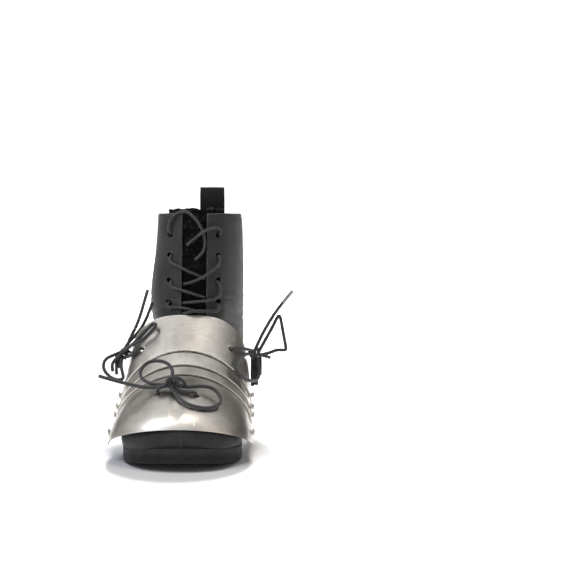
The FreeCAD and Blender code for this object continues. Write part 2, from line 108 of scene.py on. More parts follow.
def braidedCord(name, look, lengthMm):
    made, tree = newMaterial(name)
    coord = addNode(tree, "ShaderNodeTexCoord")
    split = addNode(tree, "ShaderNodeSeparateXYZ", feeds={"Vector": coord.outputs["UV"]})
    turns = lengthMm / look["plaitMm"] * math.pi  # one diamond to each plait
    along = addNode(tree, "ShaderNodeMath", {1: turns}, {0: split.outputs["X"]}, operation="MULTIPLY")
    aroundCord = addNode(tree, "ShaderNodeMath", {1: look["strandsRound"] * math.pi / 2},
                         {0: split.outputs["Y"]}, operation="MULTIPLY")
    left = addNode(tree, "ShaderNodeMath", feeds={0: along.outputs[0], 1: aroundCord.outputs[0]},
                   operation="ADD")
    right = addNode(tree, "ShaderNodeMath", feeds={0: along.outputs[0], 1: aroundCord.outputs[0]},
                    operation="SUBTRACT")
    leftWave = addNode(tree, "ShaderNodeMath", feeds={0: left.outputs[0]}, operation="SINE")
    rightWave = addNode(tree, "ShaderNodeMath", feeds={0: right.outputs[0]}, operation="SINE")
    plait = addNode(tree, "ShaderNodeMath", feeds={0: leftWave.outputs[0], 1: rightWave.outputs[0]},
                    operation="MULTIPLY")
    height = addNode(tree, "ShaderNodeMath", feeds={0: plait.outputs[0]}, operation="ABSOLUTE")
    fuzz = addNode(tree, "ShaderNodeTexNoise", {"Scale": 900.0, "Detail": 2.0},
                   {"Vector": coord.outputs["Object"]})
    patch = addNode(tree, "ShaderNodeMath", feeds={0: height.outputs[0], 1: fuzz.outputs["Fac"]},
                    operation="MULTIPLY")
    # painted highlight and painted shade: the colour follows the height of the plait, pale on the crests
    # and dark in the grooves
    braidLightAndShade = addNode(tree, "ShaderNodeValToRGB", feeds={"Fac": patch.outputs[0]},
                   stops=((0.02, look["colours"][0]), (0.3, look["colours"][1]),
                          (0.72, look["colours"][2])))
    bump = addNode(tree, "ShaderNodeBump", {"Strength": 0.9, "Distance": 0.35 * mm},
                   {"Height": height.outputs[0]})
    shader = addNode(tree, "ShaderNodeBsdfPrincipled",
                     {"Roughness": look["roughness"], "Sheen Weight": 0.15, "Sheen Roughness": 0.4},
                     {"Base Color": braidLightAndShade.outputs["Color"], "Normal": bump.outputs["Normal"]})
    return finishMaterial(made, tree, shader)


def ribbonLine(name, route, wide):  # a round cord as one smooth line through its route
    curve = bpy.data.curves.new(name, "CURVE")
    curve.dimensions = "3D"
    spline = curve.splines.new("NURBS")
    spline.points.add(len(route) - 1)
    for place, (x, y, z) in zip(spline.points, route):
        place.co = (x * mm, y * mm, z * mm, 1.0)
    spline.order_u = 3
    spline.use_endpoint_u = True
    spline.resolution_u = 12
    curve.bevel_depth = wide * mm / 2
    curve.bevel_resolution = 5
    curve.use_fill_caps = True
    made = bpy.data.objects.new(name, curve)
    bpy.context.scene.collection.objects.link(made)
    return made


def lineOf(obj):  # the points that a curve passes, without its thickness
    curve = obj.data.copy()
    curve.bevel_depth = 0.0
    spare = bpy.data.objects.new("spare", curve)
    mesh = bpy.data.meshes.new_from_object(spare)
    places = [v.co.copy() for v in mesh.vertices]
    bpy.data.objects.remove(spare)
    return places


def lengthOf(places):
    return sum((b - a).length for a, b in zip(places, places[1:]))


def laidCord(name, route, body, node=None, wide=cordWide):
    made = ribbonLine(name, route, wide)
    run = lengthOf(lineOf(made))
    made.data.materials.append(braidedCord(name + "Braid", braidLook, run / mm))
    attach(made, body)
    if node:
        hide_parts(node)
    print("cord", name, round(run, 4))
    return made


# Toe tie: one cord up through two holes in the toe plate, tied in a bow whose loops lie on the steel
toeTie = {
    "knot": (-7.0, -101.0, 71.3),
    "band": ((-11.9, -104, 73), (-10, -108, 77.5), (-6.4, -109, 79), (0.9, -108, 77.5), (6, -107, 72),
             (3, -106, 69.5), (-3, -105, 71)),
    "loopOuter": ((-8, -99, 71), (-8, -90, 75.5), (-8.5, -79, 80), (-14, -69.5, 85), (-24.5, -64, 86.5),
                  (-34, -63.5, 84.5), (-40, -69, 79), (-39.5, -78, 73), (-33, -87, 70),
                  (-24, -95, 68.5), (-10, -100, 70)),
    "loopInner": ((-5, -101, 71), (2, -106, 69.5), (11, -106, 69), (20, -101, 69), (29, -100, 67.5),
                  (36, -104, 63), (39.5, -113, 57.5), (36, -122, 54.5), (27.5, -130, 54),
                  (17, -133, 56), (7, -131, 59), (-1, -122, 64.3), (-9, -105, 69)),
    "tail": ((-9, -101.5, 70), (-19, -102, 68), (-32, -97, 66.5), (-44, -91, 67.5), (-57, -90, 70.5),
             (-68, -90, 73.5), (-77, -88, 76)),
    "leadOuter": ((-19.04, -103.09, 57.16), (-21.63, -105.75, 66.45), (-17, -106.5, 69.5),
                  (-9, -102, 71)),
    "leadInner": ((14.94, -109.4, 56.37), (16.99, -112.11, 65.77), (8, -111.5, 65.2), (0, -109, 66.2),
                  (-4.5, -104, 69.5)),
}
toeLoopOuter = laidCord("toeLoopOuter", toeTie["loopOuter"], "toe", "toe_loop_outer")
toeLoopInner = laidCord("toeLoopInner", toeTie["loopInner"], "toe", "toe_loop_inner")
toeBand = laidCord("toeBand", toeTie["band"], "toe")
toeTail = laidCord("toeTail", toeTie["tail"], "toe", "toe_tail")
toeLeadOuter = laidCord("toeLeadOuter", toeTie["leadOuter"], "toe", "toe_lead_outer")
toeLeadInner = laidCord("toeLeadInner", toeTie["leadInner"], "toe", "toe_lead_inner")

# Side tie on the outer side: a bow over the lacing hole, two long ends that stand up beside the shaft
outerTie = {
    "knot": (-63.3, -2.0, 83.0),
    "lead": ((-39.9, -19.2, 88.8), (-46.6, -24.54, 93.78), (-57.5, -15, 80.5), (-62, -6, 79.5)),
    "tailLong": ((-63.5, 0, 85), (-60.5, 1.5, 92), (-57, 2, 100), (-51, 0, 111), (-45.5, -4, 126),
                 (-42, -6, 138), (-39, -8, 147)),
    "tailBack": ((-65.5, 2, 84), (-62, 9, 91), (-52, 12, 100.5), (-45, 11, 111), (-40, 10, 122),
                 (-36, 8, 133)),
    "tailShort": ((-65.5, -4.5, 82), (-72, -9, 78.5), (-76, -11.5, 71.5), (-74, -12.5, 66)),
    "loopUp": ((-61, -5, 87), (-54, -9.5, 93.5), (-47.5, -12, 100), (-40.5, -12.5, 107.5),
               (-33.5, -11, 114.5), (-29.5, -16, 113.5), (-35, -21.5, 107), (-42, -21.5, 100),
               (-51, -18, 95.5), (-58, -12, 90.5), (-66, -6, 84.5)),
    "loopLow": ((-66, 0, 84), (-75, -4.5, 81), (-83, -9, 77.5), (-84, -13, 69), (-78, -17, 62),
                (-69, -18, 58), (-62.5, -18, 59.5), (-65, -13, 66), (-67, -7, 73), (-65.5, -3.5, 80)),
}
outerLead = laidCord("outerLead", outerTie["lead"], "boot", "outer_tie_lead")
outerTailLong = laidCord("outerTailLong", outerTie["tailLong"], "boot", "outer_tie_tail_long")
outerTailBack = laidCord("outerTailBack", outerTie["tailBack"], "boot", "outer_tie_tail_back")
outerTailShort = laidCord("outerTailShort", outerTie["tailShort"], "boot", "outer_tie_tail_short")
outerLoopUp = laidCord("outerLoopUp", outerTie["loopUp"], "boot", "outer_tie_loop_up")
outerLoopLow = laidCord("outerLoopLow", outerTie["loopLow"], "boot", "outer_tie_loop_low")

# Side tie on the inner side: a bow with one long end
innerTie = {
    "knot": (67.0, 6.0, 81.0),
    "lead": ((40.86, -19.44, 87.75), (47.0, -24.54, 92.2), (59, -10, 88.5), (65, 1, 84.5)),
    "tail": ((66.5, 4.5, 83), (69, 3, 89), (72, 1, 96), (78, -2, 108), (85, -4, 120), (94, -6, 133),
             (105, -6, 146)),
    "stub": ((70, 5, 81), (76, 4, 79), (83, 4, 77)),
    "sleeve": ((95.6, -5.8, 134.6), (99.5, -6, 139.5), (105, -6, 146)),  # the end of the tail
    "loopUp": ((70.5, 6, 82), (77, 3, 94), (84, 0, 107), (90, 0, 119.5), (92.5, 0, 120.5), (94, 1, 113),
               (96, 2, 101), (98.5, 3, 88), (98.3, 3, 84.6), (89.5, 5, 85), (80.4, 6.5, 81), (71, 6, 79)),
    "loopLow": ((65, 2.5, 82), (58.5, -14, 84), (50.5, -33, 81.5), (48.5, -43, 75.5),
                (52.5, -46.5, 68.5), (60, -39, 62), (69, -19, 57.5), (72, -4, 61), (70.5, 2.5, 69),
                (69, 5, 78)),
}
innerLead = laidCord("innerLead", innerTie["lead"], "boot", "inner_tie_lead")
innerTail = laidCord("innerTail", innerTie["tail"], "boot", "inner_tie_tail")
innerStub = laidCord("innerStub", innerTie["stub"], "boot")
innerLoopUp = laidCord("innerLoopUp", innerTie["loopUp"], "boot", "inner_tie_loop_up")

# The tail's end is bound in clear film over pale core: dull light grey with a soft shine
sleeveLook = {"lengthMm": 15.0, "wideMm": 3.7, "colours": ("#6F7173", "#A3A5A6"), "ringMm": 1.4,
              "roughness": 0.38}


def boundFilm(name, look):
    made, tree = newMaterial(name)
    coord = addNode(tree, "ShaderNodeTexCoord")
    split = addNode(tree, "ShaderNodeSeparateXYZ", feeds={"Vector": coord.outputs["UV"]})
    along = addNode(tree, "ShaderNodeMath", {1: look["lengthMm"] / look["ringMm"] * 2 * math.pi},
                    {0: split.outputs["X"]}, operation="MULTIPLY")
    wave = addNode(tree, "ShaderNodeMath", feeds={0: along.outputs[0]}, operation="SINE")
    tone = addNode(tree, "ShaderNodeValToRGB", feeds={"Fac": wave.outputs[0]},
                   stops=tuple(zip((0.0, 0.8), look["colours"])))
    film = addNode(tree, "ShaderNodeBsdfPrincipled", {"Roughness": look["roughness"]},
                   {"Base Color": tone.outputs["Color"]})
    return finishMaterial(made, tree, film)


innerSleeve = ribbonLine("innerSleeve", innerTie["sleeve"], sleeveLook["wideMm"])
innerSleeve.data.materials.append(boundFilm("boundFilm", sleeveLook))
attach(innerSleeve, "boot")
innerLoopLow = laidCord("innerLoopLow", innerTie["loopLow"], "boot", "inner_tie_loop_low")


# A knot: cord wrapped round the crossing of the strands, and one more turn over it
def tiedKnot(name, centre, axis, turns, radius, rise, body, node):
    middle = Vector(centre)
    up = Vector(axis).normalized()
    side = up.orthogonal().normalized()
    front = up.cross(side)
    route = []
    count = int(turns * 8)
    for step in range(count + 1):
        angle = 2 * math.pi * turns * step / count
        lift = rise * (step / count - 0.5)
        swell = radius * (1.0 + 0.12 * math.sin(1.7 * angle))
        turned = side * (swell * math.cos(angle)) + front * (swell * 0.82 * math.sin(angle))
        route.append(tuple(middle + turned + up * lift))
    knot = ribbonLine(name, route, cordWide)
    run = lengthOf(lineOf(knot))
    knot.data.materials.append(braidedCord(name + "Braid", braidLook, run / mm))
    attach(knot, body)
    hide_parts(node)
    return knot


knotTurns = 2.25
toeKnot = tiedKnot("toeKnot", toeTie["knot"], (0.9, 0.25, -0.35), knotTurns, 4.0, 9.0, "toe", "toe_knot")
outerKnot = tiedKnot("outerKnot", outerTie["knot"], (0.35, 0.5, 0.8), knotTurns, 3.9, 8.5, "boot",
                     "outer_tie_knot")
innerKnot = tiedKnot("innerKnot", innerTie["knot"], (0.8, -0.3, 0.5), knotTurns, 4.2, 9.5, "boot",
                     "inner_tie_knot")

# Boot lace: round waxed lace, zigzag through the eyelets, the top loop slack
laceStrands = (
    ((-18.9, 34, 199.5), (-19.5, 29.8, 202), (-21, 29.2, 208), (-18.8, 29.8, 216), (-11.3, 29.5, 222.4),
     (-2, 27, 223.6), (5.2, 25.5, 217.6), (11.3, 24.5, 209.6), (15.5, 24, 200.5), (16.5, 21.5, 188.5),
     (13.5, 19, 180.5), (6.4, 18, 175)),
    ((30.5, 33, 198.5), (32.5, 29.5, 201.5), (31, 28.5, 206), (24.4, 24.5, 207.5), (15.6, 20, 203.8),
     (6.5, 19, 196.7), (-2, 23, 189.4)),
    ((-17.5, 28, 179), (-19.8, 23.5, 176.5), (-18.5, 21, 172), (-9.9, 15.5, 168.6), (-1, 14, 163.8),
     (10.6, 15, 158.7), (16.2, 16.5, 155.8)),
    ((29.7, 27, 178), (32, 22.5, 175), (30.5, 19.5, 169), (24, 14.5, 164), (15, 9.5, 158.2),
     (4.7, 10, 153), (-4.8, 14, 150.5)),
    ((-17.5, 21, 154), (-19, 15.5, 151.5), (-16.5, 12, 147.5), (-8.5, 8.5, 145.5), (1, 6.5, 142.8),
     (9.9, 7.5, 139.8), (16.3, 9.2, 137.2)),
    ((28.5, 19.5, 153), (32, 15, 149.5), (33, 13, 143), (31, 9.5, 137.5), (22.5, 4, 135),
     (10.3, 0.5, 134.5), (-1, 3.5, 133.2), (-5, 6.5, 132)),
    ((-19.5, 14, 132), (-22.5, 10.5, 130), (-19.5, 7.5, 127.5), (-10.5, 2.5, 128.5), (0, 0, 127.5),
     (9, 0.5, 124.5), (16, 2.3, 122)),
    ((28.5, 11, 131), (32, 6, 128.5), (30.6, 2.5, 125), (22.4, -1.5, 124.5), (11.6, -4, 126),
     (2.4, -3, 124.5), (-4.8, -0.5, 122.5)),
)
for number, strand in enumerate(laceStrands):
    laidCord("bootLace" + str(number + 1), strand, "boot", "boot_lace", laceWide)

# The cord lengths printed as they were laid are in metres
print("cords laid")


# Satin mild steel, belt sanded and oiled: warm grey, soft wide highlights, faint lines along each lame
steelLook = {
    "colours": ("#ADA9A4", "#C2BEB8", "#D2CEC8"), "edge": "#E6E2DB", "stain": "#94918C",
    "roughness": (0.26, 0.4), "brushMm": 1.6,  # real lines, 0.1 mm apart, wouldn't show
    "wavesMm": 34.0, "pitsMm": 3.0,
}


def satinSteel(name, look, knocks):
    made, tree = newMaterial(name)
    coord = addNode(tree, "ShaderNodeTexCoord")
    place = coord.outputs["Object"]
    patches = addNode(tree, "ShaderNodeTexNoise", {"Scale": 1000 / 38.0, "Detail": 4.0, "Roughness": 0.62},
                      {"Vector": place})
    tone = addNode(tree, "ShaderNodeValToRGB", feeds={"Fac": patches.outputs["Fac"]},
                   stops=((0.30, look["colours"][0]), (0.52, look["colours"][1]),
                          (0.75, look["colours"][2])))
    stretch = addNode(tree, "ShaderNodeMapping", {"Scale": (0.05, 1.0, 0.32)}, {"Vector": place})
    lines = addNode(tree, "ShaderNodeTexNoise",
                    {"Scale": 1000 / look["brushMm"], "Detail": 3.0, "Roughness": 0.7},
                    {"Vector": stretch.outputs["Vector"]})
    lineTone = addNode(tree, "ShaderNodeMapRange",
                       {"From Min": 0.3, "From Max": 0.7, "To Min": 0.9, "To Max": 1.06},
                       {"Value": lines.outputs["Fac"]})
    brushed = addNode(tree, "ShaderNodeVectorMath",
                      feeds={0: tone.outputs["Color"], 1: lineTone.outputs["Result"]},
                      operation="MULTIPLY")
    smudges = addNode(tree, "ShaderNodeTexNoise",
                      {"Scale": 1000 / 11.0, "Detail": 6.0, "Roughness": 0.7, "Distortion": 0.6},
                      {"Vector": place})
    stainMask = addNode(tree, "ShaderNodeMapRange", {"From Min": 0.58, "From Max": 0.78, "To Max": 0.55},
                        {"Value": smudges.outputs["Fac"]})
    stained = addNode(tree, "ShaderNodeMix", {"B": hexColour(look["stain"])},
                      {"Factor": stainMask.outputs["Result"], "A": brushed.outputs["Vector"]},
                      data_type="RGBA")
    geometry = addNode(tree, "ShaderNodeNewGeometry")
    rim = addNode(tree, "ShaderNodeMapRange", {"From Min": 0.53, "From Max": 0.62},
                  {"Value": geometry.outputs["Pointiness"]})
    worn = addNode(tree, "ShaderNodeMix", {"B": hexColour(look["edge"])},
                   {"Factor": rim.outputs["Result"], "A": stained.outputs["Result"]}, data_type="RGBA")
    gloss = addNode(tree, "ShaderNodeMapRange",
                    {"From Min": 0.3, "From Max": 0.7, "To Min": look["roughness"][0],
                     "To Max": look["roughness"][1]}, {"Value": smudges.outputs["Fac"]})
    waves = addNode(tree, "ShaderNodeTexNoise", {"Scale": 1000 / look["wavesMm"], "Detail": 1.0},
                    {"Vector": place})
    pits = addNode(tree, "ShaderNodeTexNoise", {"Scale": 1000 / look["pitsMm"], "Detail": 3.0},
                   {"Vector": place})
    bump = addNode(tree, "ShaderNodeBump", {"Strength": 0.5, "Distance": 1.1 * mm},
                   {"Height": waves.outputs["Fac"]})
    for centre, reach, depth in knocks:  # a knock or crease pressed into the sheet
        away = addNode(tree, "ShaderNodeMapping",
                       {"Location": tuple(-c / r for c, r in zip(centre, reach)),
                        "Scale": tuple(1000 / r for r in reach)}, {"Vector": place})
        span = addNode(tree, "ShaderNodeVectorMath", feeds={0: away.outputs["Vector"]}, operation="LENGTH")
        bowl = addNode(tree, "ShaderNodeMapRange",
                       {"From Min": 0.0, "From Max": 1.0, "To Min": 0.0, "To Max": 1.0},
                       {"Value": span.outputs["Value"]}, interpolation_type="SMOOTHSTEP")
        bump = addNode(tree, "ShaderNodeBump", {"Strength": 1.0, "Distance": depth * mm},
                       {"Height": bowl.outputs["Result"], "Normal": bump.outputs["Normal"]})
    fine = addNode(tree, "ShaderNodeBump", {"Strength": 0.35, "Distance": 0.05 * mm},
                   {"Height": pits.outputs["Fac"], "Normal": bump.outputs["Normal"]})
    brush = addNode(tree, "ShaderNodeBump", {"Strength": 0.3, "Distance": 0.06 * mm},
                    {"Height": lines.outputs["Fac"], "Normal": fine.outputs["Normal"]})
    shader = addNode(tree, "ShaderNodeBsdfPrincipled", {"Metallic": 1.0},
                     {"Base Color": worn.outputs["Result"], "Roughness": gloss.outputs["Result"],
                      "Normal": brush.outputs["Normal"]})
    return finishMaterial(made, tree, shader)


# Knocks in the sheet: centre, reach each way and depth, in millimetres
dents = {
    "instep_plate": (((-36.0, -30.0, 102.0), (14.0, 16.0, 14.0), 1.4),
                     ((-13.0, -30.0, 98.0), (5.0, 40.0, 26.0), 0.5)),
    "lame_upper": (),
    "lame_lower": (),
    "toe_plate": (((-1.0, -136.0, 54.0), (7.0, 20.0, 16.0), 1.5),
                  ((4.0, -128.0, 58.0), (5.0, 22.0, 12.0), 0.9),
                  ((-40.0, -108.0, 54.0), (16.0, 18.0, 16.0), 0.7)),
}


def dress(name, material):  # a CAD solid keeps its mesh and gets this finish
    obj = nodes[name]
    obj.data.materials.clear()
    obj.data.materials.append(material)


for name, knocks in dents.items():
    dress(name, satinSteel("satinSteel_" + name, steelLook, knocks))

# Rivets: round headed mild steel, hammered, a little darker and rougher than the sheet
rivetLook = {"colours": ("#8D8882", "#B3ADA5", "#C4BEB6"), "edge": "#D8D2C9", "stain": "#6F6B67",
             "roughness": (0.32, 0.5), "brushMm": 0.8, "wavesMm": 3.0, "pitsMm": 1.0}
hammeredRivet = satinSteel("hammeredRivetSteel", rivetLook, ())
for name in ("rivets_instep", "rivets_upper_lame", "rivets_lower_lame", "rivets_toe"):
    dress(name, hammeredRivet)
print("steel finished")


# Boot upper: full grain leather, dyed charcoal and dull waxed; fine grain, pale rubbed rims, soft creases
leatherLook = {
    # the darker hollow tone on the next line is painted shade, mixed into the surface's hollows
    "colours": ("#1E1F1F", "#2C2D2C", "#393A38"), "rubbed": "#70716D", "hollowShadeTone": "#1B1C1C",
    "grainMm": 1.1, "gloss": 0.3, "roughness": (0.5, 0.68), "voxelMm": 1.25,
    "waveMm": 26.0, "waveDepth": 0.55, "creaseDepth": 0.55,
    "swell": 0.35,  # gives back what the smoothing takes, so that the seams stay shut
}


def dyedLeather(name, look):
    made, tree = newMaterial(name)
    coord = addNode(tree, "ShaderNodeTexCoord")
    place = coord.outputs["Object"]
    clouds = addNode(tree, "ShaderNodeTexNoise", {"Scale": 1000 / 22.0, "Detail": 6.0, "Roughness": 0.65},
                     {"Vector": place})
    tone = addNode(tree, "ShaderNodeValToRGB", feeds={"Fac": clouds.outputs["Fac"]},
                   stops=((0.28, look["colours"][0]), (0.52, look["colours"][1]),
                          (0.78, look["colours"][2])))
    pores = addNode(tree, "ShaderNodeTexVoronoi", {"Scale": 1000 / look["grainMm"], "Randomness": 1.0},
                    {"Vector": place}, feature="F1")
    creases = addNode(tree, "ShaderNodeTexNoise",
                      {"Scale": 1000 / 5.0, "Detail": 8.0, "Roughness": 0.72, "Distortion": 0.5},
                      {"Vector": place})
    poreTone = addNode(tree, "ShaderNodeMapRange",
                       {"From Min": 0.0, "From Max": 0.8, "To Min": 1.12, "To Max": 0.8},
                       {"Value": pores.outputs["Distance"]})
    grained = addNode(tree, "ShaderNodeVectorMath",
                      feeds={0: tone.outputs["Color"], 1: poreTone.outputs["Result"]},
                      operation="MULTIPLY")
    geometry = addNode(tree, "ShaderNodeNewGeometry")
    rim = addNode(tree, "ShaderNodeMapRange", {"From Min": 0.51, "From Max": 0.62, "To Max": 0.85},
                  {"Value": geometry.outputs["Pointiness"]})
    rimBroken = addNode(tree, "ShaderNodeMath", feeds={0: rim.outputs["Result"], 1: creases.outputs["Fac"]},
                        operation="MULTIPLY")
    rubbed = addNode(tree, "ShaderNodeMix", {"B": hexColour(look["rubbed"])},
                     {"Factor": rimBroken.outputs[0], "A": grained.outputs["Vector"]}, data_type="RGBA")
    # painted shade: where the pointiness is low, in creases and recesses, the colour is mixed towards the
    # dark hollow tone
    paintedHollowShade = addNode(tree, "ShaderNodeMapRange", {"From Min": 0.49, "From Max": 0.43, "To Max": 0.7},
                     {"Value": geometry.outputs["Pointiness"]})
    shaded = addNode(tree, "ShaderNodeMix", {"B": hexColour(look["hollowShadeTone"])},
                     {"Factor": paintedHollowShade.outputs["Result"], "A": rubbed.outputs["Result"]}, data_type="RGBA")
    dull = addNode(tree, "ShaderNodeMapRange",
                   {"From Min": 0.3, "From Max": 0.7, "To Min": look["roughness"][0],
                    "To Max": look["roughness"][1]}, {"Value": clouds.outputs["Fac"]})
    poreBump = addNode(tree, "ShaderNodeBump", {"Strength": 0.6, "Distance": 0.18 * mm},
                       {"Height": pores.outputs["Distance"]})
    bump = addNode(tree, "ShaderNodeBump", {"Strength": 0.5, "Distance": 0.5 * mm},
                   {"Height": creases.outputs["Fac"], "Normal": poreBump.outputs["Normal"]})
    shader = addNode(tree, "ShaderNodeBsdfPrincipled",
                     {"Sheen Weight": 0.03, "Specular IOR Level": look["gloss"]},
                     {"Base Color": shaded.outputs["Result"], "Roughness": dull.outputs["Result"],
                      "Normal": bump.outputs["Normal"]})
    return finishMaterial(made, tree, shader)


def softCopy(name, node, voxel, rounds):  # the solid's form as an even skin that can be creased
    mesh = nodes[node].data.copy()
    made = bpy.data.objects.new(name, mesh)
    bpy.context.scene.collection.objects.link(made)
    bpy.ops.object.select_all(action="DESELECT")
    bpy.context.view_layer.objects.active = made
    made.select_set(True)
    mesh.remesh_voxel_size = voxel * mm
    bpy.ops.object.voxel_remesh()
    even = made.modifiers.new("even", "SMOOTH")
    even.factor = 0.5
    even.iterations = rounds
    bpy.ops.object.modifier_apply(modifier="even")
    made.data.polygons.foreach_set("use_smooth", [True] * len(made.data.polygons))
    return made


def press(obj, shift):  # moves each point along its normal by shift(place) in millimetres
    moves = [v.normal * (shift(v.co * 1000.0) * mm) for v in obj.data.vertices]
    for vertex, move in zip(obj.data.vertices, moves):
        vertex.co += move
    obj.data.update()


def between(value, low, high):  # 0 below low, 1 above high, smooth on the way
    t = min(1.0, max(0.0, (value - low) / (high - low)))
    return t * t * (3.0 - 2.0 * t)


def upperCreases(place):
    wave = noise.noise(place / leatherLook["waveMm"]) * leatherLook["waveDepth"]
    ankle = between(place.z, 88, 104) * (1.0 - between(place.z, 128, 150))
    ankle *= 1.0 - between(place.y, 95, 125)  # none round the back
    flow = place.z * 0.9 + place.y * 0.25 + 6.0 * noise.noise(place / 30.0)
    fold = (math.sin(flow * 2 * math.pi / 9.5) * 0.5 + 0.5) ** 3
    vamp = between(place.y, -95, -80) * (1.0 - between(place.y, -50, -35)) * between(place.z, 22, 36)
    fan = (math.sin((place.y + 4.0 * noise.noise(place / 18.0)) * 2 * math.pi / 8.0) * 0.5 + 0.5) ** 3
    return wave + leatherLook["swell"] - leatherLook["creaseDepth"] * (ankle * fold + vamp * fan)


def lean(obj):  # the sides of the shaft stand a little to the outer side, as worn boots do
    for vertex in obj.data.vertices:
        x, y, z = vertex.co * 1000.0
        aside = between(abs(x - 9.5), 20, 38) * between(z, 70, 120) * between(y, -5, 30)
        slack = 2.3 + (2.4 if x < 9.5 else 1.0) * (1.0 - between(abs(z - 122), 10, 60))
        vertex.co.x -= aside * slack * mm
    obj.data.update()


def finishSoft(piece, material, node):  # a remade soft piece takes its finish, body and node
    piece.data.materials.clear()
    piece.data.materials.append(material)
    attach(piece, "boot")
    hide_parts(node)


uppers = {}
for name, node in (("vampInner", "vamp_inner"), ("vampOuter", "vamp_outer"),
                   ("quarterInner", "quarter_inner"), ("quarterOuter", "quarter_outer")):
    piece = softCopy(name, node, leatherLook["voxelMm"], 3)
    press(piece, upperCreases)
    lean(piece)
    finishSoft(piece, dyedLeather("waxedLeather_" + name, leatherLook), node)
    uppers[name] = piece
print("upper formed")

# Tongue: split leather with the rough side out, crumpled where the slack lace pulls it; its colours are
# painted shade
# painted shade: these colours are darkened to near black to stand for the deep shade in the gap between the
# quarters
tongueLook = {"colours": ("#030303", "#080809", "#242425"), "rubbed": "#5C5C5C", "hollowShadeTone": "#020202",
              "grainMm": 1.6, "gloss": 0.08, "roughness": (0.75, 0.95), "voxelMm": 1.1,
              "crumpleMm": 9.0, "crumpleDepth": 3.0}


def crumple(place):
    slack = between(place.z, 150, 190)
    small = noise.noise(place / tongueLook["crumpleMm"]) + 0.5 * noise.noise(place / 4.0)
    return small * tongueLook["crumpleDepth"] * (0.25 + 0.75 * slack) - 0.4


tongue = softCopy("tongue", "tongue", tongueLook["voxelMm"], 2)
press(tongue, crumple)
finishSoft(tongue, dyedLeather("roughSplitLeatherPaintedShade", tongueLook), "tongue")

# Insole: needled felt on board, dark, soft and matt
insoleLook = {"colours": ("#1C1C1C", "#292929", "#343433"), "rubbed": "#3C3C3A", "hollowShadeTone": "#141414",
              "grainMm": 1.4, "gloss": 0.1, "roughness": (0.85, 0.98), "voxelMm": 1.6}
insole = softCopy("insole", "insole", insoleLook["voxelMm"], 3)
press(insole, lambda place: 0.35 * noise.noise(place / 14.0))
finishSoft(insole, dyedLeather("needledFelt", insoleLook), "insole")

# Tabs: strips of the same leather, cut into prongs
tabColours = ("#1B1B1C", "#252526", "#303031")
for name, node in (("innerTab", "inner_tab"), ("outerTab", "outer_tab")):
    tab = softCopy(name, node, 0.7, 2)
    press(tab, lambda place: 0.3 * noise.noise(place / 6.0))
    finishSoft(tab, dyedLeather("tabLeather_" + name, dict(leatherLook, colours=tabColours)),
               node)
print("tongue, insole and tabs formed")

# Pull loop: woven polyester webbing, ribbed across, dull black; rib crests painted lighter as painted
# highlight, troughs painted darker as painted shade
webbingLook = {"colours": ("#08090A", "#121314", "#202123"), "ribMm": 1.5, "roughness": 0.82}


def wovenWebbing(name, look):
    made, tree = newMaterial(name)
    coord = addNode(tree, "ShaderNodeTexCoord")
    split = addNode(tree, "ShaderNodeSeparateXYZ", feeds={"Vector": coord.outputs["Object"]})
    across = addNode(tree, "ShaderNodeMath", {1: 2000 * math.pi / look["ribMm"]}, {0: split.outputs["X"]},
                     operation="MULTIPLY")
    upward = addNode(tree, "ShaderNodeMath", {1: 2000 * math.pi / look["ribMm"]}, {0: split.outputs["Z"]},
                     operation="MULTIPLY")
    acrossWave = addNode(tree, "ShaderNodeMath", feeds={0: across.outputs[0]}, operation="SINE")
    upwardWave = addNode(tree, "ShaderNodeMath", feeds={0: upward.outputs[0]}, operation="SINE")
    weave = addNode(tree, "ShaderNodeMath", feeds={0: acrossWave.outputs[0], 1: upwardWave.outputs[0]},
                    operation="MULTIPLY")
    height = addNode(tree, "ShaderNodeMath", {1: 0.5, 2: 0.5}, {0: weave.outputs[0]},
                     operation="MULTIPLY_ADD")
    fuzz = addNode(tree, "ShaderNodeTexNoise", {"Scale": 1000 / 0.9, "Detail": 3.0},
                   {"Vector": coord.outputs["Object"]})
    weaveLightAndShade = addNode(tree, "ShaderNodeMath", feeds={0: height.outputs[0], 1: fuzz.outputs["Fac"]},
                    operation="MULTIPLY")
    # painted highlight and painted shade: the colour follows the weave's height, lighter on the crests and
    # darker in the troughs
    tone = addNode(tree, "ShaderNodeValToRGB", feeds={"Fac": weaveLightAndShade.outputs[0]},
                   stops=((0.05, look["colours"][0]), (0.35, look["colours"][1]),
                          (0.7, look["colours"][2])))
    bump = addNode(tree, "ShaderNodeBump", {"Strength": 0.8, "Distance": 0.25 * mm},
                   {"Height": height.outputs[0]})
    shader = addNode(tree, "ShaderNodeBsdfPrincipled",
                     {"Roughness": look["roughness"], "Sheen Weight": 0.05,
                      "Sheen Roughness": 0.45, "Specular IOR Level": 0.3},
                     {"Base Color": tone.outputs["Color"], "Normal": bump.outputs["Normal"]})
    return finishMaterial(made, tree, shader)


pullLoop = softCopy("pullLoop", "pull_loop", 0.6, 2)
press(pullLoop, lambda place: 0.2 * noise.noise(place / 7.0))
finishSoft(pullLoop, wovenWebbing("wovenWebbing", webbingLook), "pull_loop")

# Sole, heel and welt: pressed rubber, dull black brown, dusty in its pores and scuffed pale at the rim
rubberLook = {"colours": ("#0F0F10", "#191A1B", "#262627"), "rubbed": "#454543", "hollowShadeTone": "#101010",
              "grainMm": 0.9, "gloss": 0.25, "roughness": (0.62, 0.85)}
for name in ("outsole", "heel_block"):
    dress(name, dyedLeather("pressedRubber_" + name, rubberLook))
dress("welt", dyedLeather("weltStrip", dict(rubberLook, colours=("#1A1A1A", "#262626", "#313130"),
                                            grainMm=1.2)))
print("sole finished")


